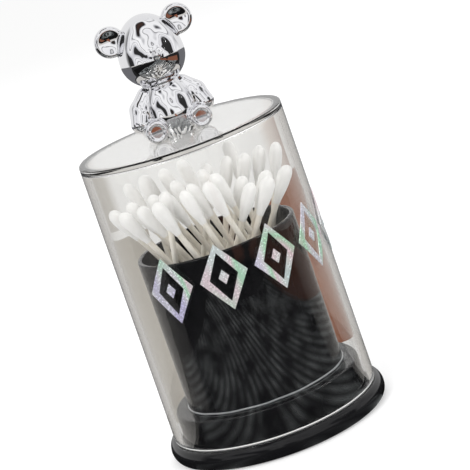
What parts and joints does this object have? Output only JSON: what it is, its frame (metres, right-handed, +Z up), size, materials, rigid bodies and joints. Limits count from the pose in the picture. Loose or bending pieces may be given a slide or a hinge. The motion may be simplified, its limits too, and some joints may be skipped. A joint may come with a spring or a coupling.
{
  "type": "cotton swab holder",
  "caption": "Round black base with a standing cup full of cotton swabs, under a clear lift-off cover with a chrome-plated bear on top.",
  "frame": {"origin": "middle of the base's underside, on the surface it stands on", "axes": "+Z up along the axis of the base, cup and cover; the bear on the cover looks along -Y"},
  "size_m": [0.0954, 0.0954, 0.1843],
  "materials": {
    "base": "glossy black moulding",
    "inner_cup": "glossy black tube",
    "cover": "clear moulded plastic",
    "bear": "bright plated plastic",
    "foil": "rainbow hot-stamping foil",
    "cotton": "soft wound cotton on a paper stick"
  },
  "bodies": {
    "base": {"base": "base", "inner_cup": "inner_cup", "swab_01": "cotton", "swab_02": "cotton", "swab_03": "cotton", "swab_04": "cotton", "swab_05": "cotton", "swab_06": "cotton", "swab_07": "cotton", "swab_08": "cotton", "swab_09": "cotton", "swab_10": "cotton", "swab_11": "cotton", "swab_12": "cotton", "swab_13": "cotton", "swab_14": "cotton", "swab_15": "cotton", "swab_16": "cotton", "swab_17": "cotton", "swab_18": "cotton", "swab_19": "cotton", "swab_20": "cotton", "swab_21": "cotton", "swab_22": "cotton", "swab_23": "cotton", "swab_24": "cotton", "swab_25": "cotton", "swab_26": "cotton", "swab_27": "cotton", "swab_28": "cotton", "swab_29": "cotton", "swab_30": "cotton", "swab_31": "cotton"},
    "cover": {"cover": "cover", "bear_figure": "bear", "foil_mark_1": "foil", "foil_mark_2": "foil", "foil_mark_3": "foil", "foil_mark_4": "foil", "foil_mark_5": "foil"}
  },
  "joints": [
    {"name": "cover_lift", "type": "slide", "parent": "base", "child": "cover", "axis": [0, 0, 1], "range_m": [0, 0.13]}
  ]
}
